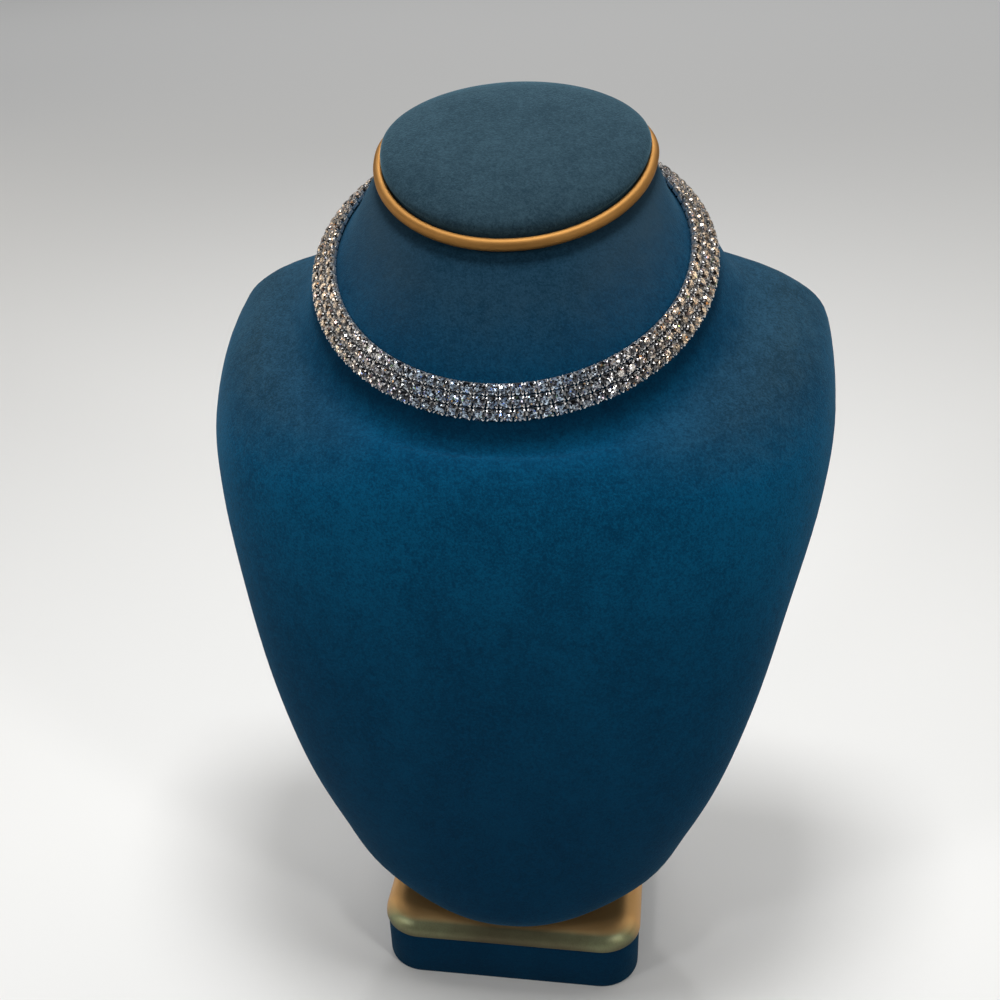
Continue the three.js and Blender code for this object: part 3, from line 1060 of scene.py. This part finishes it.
@dataclass
class Choker:
    """Three rows of set stones and the plain clasp behind the neck. Millimetres.

    The play is the random turn of a stone in its seat, in radians. The clasp's edges stay sharp
    over an angle in degrees.
    """

    loop: ChokerLoop
    stone_finish: Material
    metal_finish: Material
    cell: StoneCell = field(default_factory=StoneCell)
    row_width: float = 3.7
    row_gap: float = 0.3
    first_seed: int = 11
    play: float = 0.035
    clasp_length: float = 11.0
    clasp_thickness: float = 2.2
    clasp_edge: float = 0.5
    clasp_steps: int = 12
    clasp_sharp_over: float = 35.0

    def build(self) -> None:
        """Builds the rows and the clasp and hands them over."""
        models = self.cell.stone(), self.cell.setting()
        pitch = self.row_width + self.row_gap
        for place, row in enumerate(("lower_row", "middle_row", "upper_row")):
            piece = self._row(row, (place - 1) * pitch)
            self._set_stones(piece, models, self.first_seed + place)
            hand_over(piece, row)
        for model in models:
            bpy.data.objects.remove(model)
        self._clasp()

    def _row(self, row: str, across: float) -> Item:
        """The seats of one row, all the way round.

        Args:
            row: The row's name.
            across: How far up across the band it lies.

        Returns:
            The piece, with a point for each stone.
        """
        span = self.loop.lengths[-1] - self.clasp_length
        count = 2 * math.floor(span / self.cell.pitch / 2) + 1
        starts = [self.clasp_length / 2 + span * (step + 0.5) / count for step in range(count)]
        seats = [self.loop.seat(self.loop.angle_at(start), across) for start in starts]
        mesh = bpy.data.meshes.new(f"{row}_seats")
        mesh.from_pydata([tuple(place * MM) for place, _, _ in seats], [], [])
        for name, column in (("out", 1), ("along", 2)):
            ways = mesh.attributes.new(name, "FLOAT_VECTOR", "POINT")
            ways.data.foreach_set("vector", [value for seat in seats for value in seat[column]])
        return new_object(f"{row}_of_set_stones", mesh)

    def _set_stones(self, piece: Item, models: tuple[Item, Item], seed: int) -> None:
        """Puts a stone and a setting on every seat and gives each facet its tone and turn.

        Args:
            piece: The piece with the seats.
            models: The stone and the setting.
            seed: What its random values start from.
        """
        recipe = NodeRecipe("stones_in_a_row")
        stone = recipe.size("Stone", "NodeSocketObject", models[0])
        setting = recipe.size("Setting", "NodeSocketObject", models[1])
        play = recipe.size("Play", "NodeSocketFloat", self.play)
        start = recipe.size("Seed", "NodeSocketInt", seed)
        kind = {"data_type": "FLOAT_VECTOR"}
        out, along = (
            recipe.wire("GeometryNodeInputNamedAttribute", kind, {"Name": name})
            for name in ("out", "along")
        )
        align = "FunctionNodeAlignRotationToVector"
        upright = recipe.wire(align, {"axis": "Z"}, {"Vector": out})
        sockets = {"Rotation": upright, "Vector": along}
        facing = recipe.wire(align, {"axis": "X", "pivot_axis": "Z"}, sockets)
        wobble = recipe.vectors("SCALE", {0: recipe.random_vector(start), "Scale": play})
        turned = recipe.wire("FunctionNodeEulerToRotation", None, {0: wobble})
        sockets = {"Rotation": facing, "Rotate By": turned}
        rested = recipe.wire("FunctionNodeRotateRotation", {"rotation_space": "LOCAL"}, sockets)
        stones = recipe.on_points(stone, rested)
        sockets = {2: 0.0, 3: 1.0, "Seed": start}
        tone = recipe.wire("FunctionNodeRandomValue", {"data_type": "FLOAT"}, sockets, 1)
        stones = recipe.store(stones, "facet_tone", "FLOAT", tone)
        throw = recipe.random_vector(start)
        stones = recipe.store(stones, "facet_turn", "FLOAT_VECTOR", throw)
        joined = recipe.node("GeometryNodeJoinGeometry")
        for part in (
            recipe.dress(recipe.on_points(setting, facing), self.metal_finish),
            recipe.dress(stones, self.stone_finish),
        ):
            recipe.tree.links.new(part.socket, joined.inputs[0])
        recipe.bake(piece, Wire(recipe, joined.outputs[0]))

    def _clasp(self) -> None:
        """Builds the plain clasp that closes the band behind the neck."""
        half = 1.5 * self.row_width + self.row_gap
        reach = self.clasp_length / 2 - self.row_gap
        top = (self.clasp_thickness - self.cell.cup_depth) / 2
        bottom = top - self.clasp_thickness
        edge = self.clasp_edge
        outline = [
            (edge - half, bottom), (half - edge, bottom), (half, bottom + edge), (half, top - edge),
            (half - edge, top), (edge - half, top), (-half, top - edge), (-half, bottom + edge),
        ]
        rings = []
        for step in range(self.clasp_steps + 1):
            angle = self.loop.angle_at(reach * (2 * step / self.clasp_steps - 1))
            rings.append([self.loop.point(angle, across, height) for across, height in outline])
        clasp = loft("plain_clasp", rings, self.metal_finish, self.clasp_sharp_over)
        hand_over(clasp, "clasp")


# Bust


@dataclass(frozen=True)
class Section:
    """One section of the bust, in shares of its named sizes, with the fullness of its oval."""

    height: float
    width: float
    front: float
    middle: float
    back: float
    fullness: float
    tilt: float


BUST_SECTIONS = (
    Section(0.0, 0.19, 0.85, 0.39, 0.09, 2.3, 0),
    Section(0.008, 0.29, 0.92, 0.4, 0.11, 2.3, 0),
    Section(0.028, 0.395, 0.965, 0.42, 0.13, 2.3, 0),
    Section(0.075, 0.518, 0.985, 0.48, 0.15, 2.3, 0),
    Section(0.154, 0.6, 0.99, 0.53, 0.18, 2.35, 0),
    Section(0.253, 0.69, 0.995, 0.54, 0.23, 2.4, 0),
    Section(0.39, 0.787, 1, 0.46, 0.31, 2.4, 0),
    Section(0.528, 0.867, 0.99, 0.3, 0.42, 2.4, 0),
    Section(0.666, 0.96, 0.975, -0.05, 0.58, 2.4, 0),
    Section(0.766, 0.992, 0.945, -0.31, 0.75, 2.4, 0.12),
    Section(0.845, 0.955, 0.905, -0.5, 0.86, 2.3, 0.4),
    Section(0.882, 0.85, 0.885, -0.4, 0.9, 2.2, 0.6),
    Section(0.91, 0.69, 0.87, -0.2, 0.93, 2.05, 0.8),
)


@dataclass
class NeckBust:
    """The velvet neck and chest, the ring round its top and the domed pad.

    Millimetres, and degrees for the tilt.
    """

    loop: ChokerLoop
    velvet: Material
    pad_velvet: Material
    gold: Material
    width: float = 218.0
    front: float = 69.5
    back: float = 58.0
    drop: float = 235.7
    band_width: float = 11.7
    band_depth: float = 2.6
    seat_share: float = 1.1
    neck_insets: Limits = (0.6, 1.4)
    ring_half_width: float = 44.1
    ring_front: float = 44.5
    ring_back: float = 32.0
    tube: float = 1.9
    ring_tilt: float = 24.0
    ring_rise: float = 28.0
    ring_setback: float = 13.6
    pad_rise: float = 9.3
    pad_fullness: float = 2.7
    pad_overhang: float = 3.3
    pad_slope: float = 0.5
    gap: float = 0.3
    facets: int = 144
    steps: int = 6
    ring_facets: int = 240
    tube_facets: int = 28
    pad_steps: int = 18

    def build(self) -> None:
        """Builds the three pieces and hands them over."""
        self._body()
        self._ring()
        self._pad()

    def _section_point(self, angle: float, section: Section) -> Vector:
        """A point on one section of the chest.

        Args:
            angle: The angle round from the front.
            section: The section.

        Returns:
            The point.
        """
        middle = -self.front * section.middle
        spot = oval(
            angle,
            self.width / 2 * section.width,
            self.front * section.front + middle,
            self.back * section.back - middle,
            section.fullness,
        )
        point = tilted(spot + Vector((0, middle, 0)), self.loop.tilt * section.tilt)
        return self.loop.centre + point + Vector((0, 0, self.drop * (section.height - 1)))

    def _ring_point(self, angle: float, inset: float, height: float, share: float = 1.0) -> Vector:
        """A point over the plane of the neck ring.

        Args:
            angle: The angle round from the front.
            inset: How far inside the ring's line it lies.
            height: How high over the plane it lies.
            share: How far out from the middle it lies.

        Returns:
            The point.
        """
        reaches = (self.ring_half_width, self.ring_front, self.ring_back)
        spot = oval(angle, *((reach - inset) * share for reach in reaches))
        choker_shadow_fade = tilted(spot + Vector((0, 0, height)), self.ring_tilt)
        return self.loop.centre + choker_shadow_fade + Vector((0, self.ring_setback, self.ring_rise))

    def _body(self) -> None:
        """Builds the chest, shoulders and neck in one smooth skin."""
        columns = []
        for angle in turns(self.facets):
            keys = [self._section_point(angle, section) for section in BUST_SECTIONS]
            for share in (-self.seat_share, 0.0, self.seat_share):
                keys.append(self.loop.point(angle, self.band_width / 2 * share, -self.band_depth))
            for inset in self.neck_insets:
                keys.append(self._ring_point(angle, inset, -self.tube - self.gap))
            columns.append(smooth_path(keys, self.steps))
        bust = loft("velvet_bust", [list(ring) for ring in zip(*columns)], self.velvet)
        hand_over(bust, "bust_body")

    def _ring(self) -> None:
        """Builds the round ring, swept along the neck's edge."""
        path = [self._ring_point(angle, 0, 0) for angle in turns(self.ring_facets)]
        edges = [(step, (step + 1) % len(path)) for step in range(len(path))]
        mesh = bpy.data.meshes.new("neck_ring_path")
        mesh.from_pydata([tuple(point * MM) for point in path], edges, [])
        piece = new_object("gold_neck_ring", mesh)
        recipe = NodeRecipe("round_bar_along_a_path")
        radius = recipe.size("Bar Radius", "NodeSocketFloat", self.tube * MM)
        curve = recipe.wire("GeometryNodeMeshToCurve", None, {0: recipe.given()})
        sockets = {"Resolution": self.tube_facets, "Radius": radius}
        profile = recipe.wire("GeometryNodeCurvePrimitiveCircle", None, sockets)
        sockets = {"Curve": curve, "Profile Curve": profile}
        bar = recipe.wire("GeometryNodeCurveToMesh", None, sockets)
        for kind in ("GeometryNodeSetShadeSmooth", "GeometryNodeRealizeInstances"):
            bar = recipe.wire(kind, None, {"Geometry": bar})
        recipe.bake(piece, recipe.dress(bar, self.gold))
        hand_over(piece, "neck_ring")

    def _pad(self) -> None:
        """Builds the domed pad, which rises inside the ring and spreads over its back."""
        inset = self.tube + self.gap
        angles = turns(self.facets)
        rings = [
            [self._ring_point(angle, inset, height) for angle in angles]
            for height in (-self.tube, self.tube, inset)
        ]
        start = inset + self.pad_slope
        power = 2 / self.pad_fullness
        for step in range(self.pad_steps + 1):
            turn = QUARTER_TURN * step / (self.pad_steps + 1)
            height = start + (self.pad_rise - start) * math.sin(turn) ** power
            rings.append([
                self._ring_point(
                    angle, inset - self._overhang(angle), height, math.cos(turn) ** power
                )
                for angle in angles
            ])
        pad = loft("velvet_neck_pad", rings, self.pad_velvet)
        hand_over(pad, "neck_pad")

    def _overhang(self, angle: float) -> float:
        """How far the pad reaches out over the ring."""
        return self.pad_overhang * (1 - math.cos(angle)) / 2


# Base


@dataclass
class Base:
    """The velvet plinth and the satin cap on it. Millimetres, and degrees for sharp edges."""

    velvet: Material
    gold: Material
    width: float = 97.0
    depth: float = 90.0
    corner: float = 15.0
    plinth_height: float = 18.3
    plinth_inset: float = 0.6
    plinth_edge: float = 0.9
    plinth_edge_steps: int = 4
    cap_height: float = 7.5
    cap_foot: float = 0.3
    cap_edge: float = 9.0
    cap_fall: float = 7.1
    cap_edge_steps: int = 12
    cap_sharp_over: float = 40.0
    top_margin: float = 4.0
    gap: float = 0.3
    corner_steps: int = 14

    def build(self) -> None:
        """Builds both pieces and hands them over."""
        self._plinth()
        self._cap()

    def _outline(self, inset: float, height: float) -> Ring:
        """The base's outline with round corners.

        Args:
            inset: How far inside the full size it lies.
            height: How high it lies.

        Returns:
            The points, counted round from the front.
        """
        radius = self.corner - inset
        points = []
        for quarter, (sideways, backwards) in enumerate(((1, -1), (1, 1), (-1, 1), (-1, -1))):
            for step in range(self.corner_steps + 1):
                turn = QUARTER_TURN * (quarter - 1 + step / self.corner_steps)
                points.append(Vector((
                    sideways * (self.width / 2 - self.corner) + radius * math.cos(turn),
                    backwards * (self.depth / 2 - self.corner) + radius * math.sin(turn),
                    height,
                )))
        return points

    def _plinth(self) -> None:
        """Builds the covered plinth, its edges softened by the pile."""
        inset, edge, top = self.plinth_inset, self.plinth_edge, self.plinth_height
        shares = rounding(self.plinth_edge_steps)
        rings = [self._outline(inset + edge * far, edge * low) for far, low in shares[::-1]]
        rings += [self._outline(inset + edge * far, top - edge * low) for far, low in shares]
        rings.append(self._outline(inset + self.top_margin, top))
        hand_over(loft("velvet_plinth", rings, self.velvet), "base_plinth")

    def _cap(self) -> None:
        """Builds the metal cap with its upper edge rounded over."""
        bottom = self.plinth_height + self.gap
        top = bottom + self.cap_height
        rings = [self._outline(self.cap_foot, bottom), self._outline(0, bottom + self.cap_foot)]
        for far, low in rounding(self.cap_edge_steps):
            rings.append(self._outline(self.cap_edge * far, top - self.cap_fall * low))
        rings.append(self._outline(self.cap_edge + self.top_margin, top))
        cap = loft("gold_base_cap", rings, self.gold, self.cap_sharp_over)
        hand_over(cap, "base_cap")


# Studio

SIDE_WARMTH = (1.0, 0.93, 0.82)
FRONT_WARMTH = (1.0, 0.94, 0.84)


@dataclass
class Softbox:
    """One soft lamp of the set. Metres, watts."""

    name: str
    place: Triple
    aim: Triple
    size: Limits
    power: float
    colour: Colour = (1.0, 1.0, 1.0)

    def build(self) -> None:
        """Puts the lamp into the scene."""
        lamp = bpy.data.lights.new(self.name, "AREA")
        lamp.shape = "RECTANGLE"
        lamp.size, lamp.size_y = self.size
        lamp.energy = self.power
        lamp.color = self.colour
        item = new_object(self.name, lamp)
        item.location = self.place
        way = Vector(self.aim) - Vector(self.place)
        item.rotation_euler = way.to_track_quat("-Z", "Y").to_euler()


@dataclass
class Studio:
    """The pale floor, the soft lamps and the camera.

    The camera's distance, target, lens and sensor are in millimetres. Its near limit and the
    floor's reach are in metres, and its angles in degrees.
    """

    floor_colour: Colour = (0.8, 0.8, 0.79)
    floor_roughness: float = 0.85
    floor_reach: float = 6.0
    sky: Colour = (0.5, 0.51, 0.53)
    sky_strength: float = 0.18
    camera_heading: float = -8.9
    camera_pitch: float = 27.98
    camera_roll: float = 2.05
    camera_distance: float = 433.57
    camera_target: Triple = (-6.79, 19.4, 170.98)
    lens: float = 43.54
    sensor: float = 36.0
    clip_start: float = 0.01
    lamps: tuple[Softbox, ...] = (
        Softbox("overhead", (0.0, 0.02, 0.84), (0, 0, 0.24), (0.2, 0.16), 3.7),
        Softbox("front_fill", (0.1, -1.3, 0.5), (0, 0, 0.2), (0.9, 0.9), 0.4),
        Softbox("top_front", (-0.1, -0.5, 1.0), (0, 0, 0.24), (0.3, 0.3), 0.3),
        Softbox("left_side", (-1.7, 0.45, 0.58), (0, 0, 0.26), (1.4, 0.7), 3.8, SIDE_WARMTH),
        Softbox("right_side", (1.6, 0.45, 0.8), (0, 0, 0.26), (1.4, 0.7), 3.8, SIDE_WARMTH),
        Softbox("left_front", (-1.45, -0.68, 0.42), (0, 0, 0.2), (0.4, 0.3), 2.45, FRONT_WARMTH),
        Softbox("right_front", (1.4, -0.98, 0.6), (0, 0, 0.2), (0.4, 0.3), 3.0, FRONT_WARMTH),
        Softbox("floor_wash", (0.0, 3.2, 3.6), (0, 3.4, 0), (7.0, 5.0), 120.0),
        Softbox("left_glint", (-0.75, -0.62, 0.62), (0, 0, 0.18), (0.14, 0.14), 1.7),
        Softbox("right_glint", (0.75, -0.6, 0.7), (0, 0, 0.18), (0.14, 0.14), 1.7),
        Softbox("back_glint", (-0.2, 0.8, 0.9), (0, 0, 0.24), (0.1, 0.1), 1.4),
    )

    def build(self) -> None:
        """Builds the whole set."""
        self._floor()
        self._world()
        for lamp in self.lamps:
            lamp.build()
        self._camera()
        bpy.context.scene.view_settings.view_transform = "Standard"

    def _floor(self) -> None:
        """A wide plain floor."""
        reach = self.floor_reach
        mesh = bpy.data.meshes.new("floor")
        sides = ((-1, -1), (1, -1), (1, 1), (-1, 1))
        mesh.from_pydata([(x * reach, y * reach, 0) for x, y in sides], [], [(0, 1, 2, 3)])
        floor = new_object("floor", mesh)
        floor.data.materials.append(ShaderBoard("plain_floor").finish({
            "Base Color": (*self.floor_colour, 1.0),
            "Roughness": self.floor_roughness,
        }))

    def _world(self) -> None:
        """Even light from all round."""
        world = bpy.data.worlds.new("studio")
        world.use_nodes = True
        background = world.node_tree.nodes["Background"]
        background.inputs["Color"].default_value = (*self.sky, 1.0)
        background.inputs["Strength"].default_value = self.sky_strength
        bpy.context.scene.world = world

    def _camera(self) -> None:
        """The camera, a little to the right and above, looking down at the chest."""
        camera = bpy.data.cameras.new("camera")
        camera.lens = self.lens
        camera.sensor_width = self.sensor
        camera.clip_start = self.clip_start
        item = new_object("camera", camera)
        heading, pitch, roll = (
            Matrix.Rotation(math.radians(degrees), 4, axis)
            for degrees, axis in (
                (-self.camera_heading, "Z"), (90 - self.camera_pitch, "X"), (-self.camera_roll, "Z")
            )
        )
        target = Matrix.Translation(Vector(self.camera_target) * MM)
        away = Matrix.Translation((0, 0, self.camera_distance * MM))
        item.matrix_world = target @ heading @ pitch @ roll @ away
        bpy.context.scene.camera = item


def hand_over(piece: Item, node: str) -> None:
    """Makes a piece ride on the body and stand for its CAD node.

    Args:
        piece: The finished piece.
        node: The node that it stands for.
    """
    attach(piece, "root")
    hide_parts(node)
    triangles = sum(len(face.vertices) - 2 for face in piece.data.polygons)
    LOG.info("%s: %d triangles", piece.name, triangles)


def main() -> None:
    """Builds the object and the set round it."""
    logging.basicConfig(level=logging.INFO, format="%(message)s")
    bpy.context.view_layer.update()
    velvet = Velvet().material()
    # The pad takes its own greyer velvet colours all over.
    pad_velvet = Velvet(
        name="greyer_pad_velvet",
        neck=((0.0112, 0.027, 0.0405), (0.0245, 0.052, 0.0715)),
        neck_limits=(-1.0, -0.9),
        neck_side_sheen_share=0.0,
        sheen=0.3,
    )
    # The cap's greenish front and its orange top and sides are painted reflection colours; its
    # darker middle and upright faces are painted shade.
    cap_gold = SatinGold(
        name="satin_base_gold",
        bright=(0.24, 0.265, 0.145),
        dull=(0.145, 0.142, 0.078),
        level=(0.64, 0.37, 0.14),
        level_limits=(0.78, 1.0),
        front_limits=(0.1, 0.55),
        upright_shade_share=0.5,
        middle_shade_limits=(0.01, 0.033),
        middle_shade_share=0.35,
        roughness=(0.36, 0.46),
        metallic=0.8,
        rubbing=replace(SatinGold.rubbing, stretch=(1.0, 1.0, 0.03)),
        mark_depth=0.00004,
    )
    loop = ChokerLoop(centre=Vector((0, 19.4, 262.1)))
    Base(velvet, cap_gold.material()).build()
    NeckBust(loop, velvet, pad_velvet.material(), SatinGold().material()).build()
    Choker(loop, CutStone().material(), SilverSetting().material()).build()
    Studio().build()


if __name__ == "__main__":
    main()
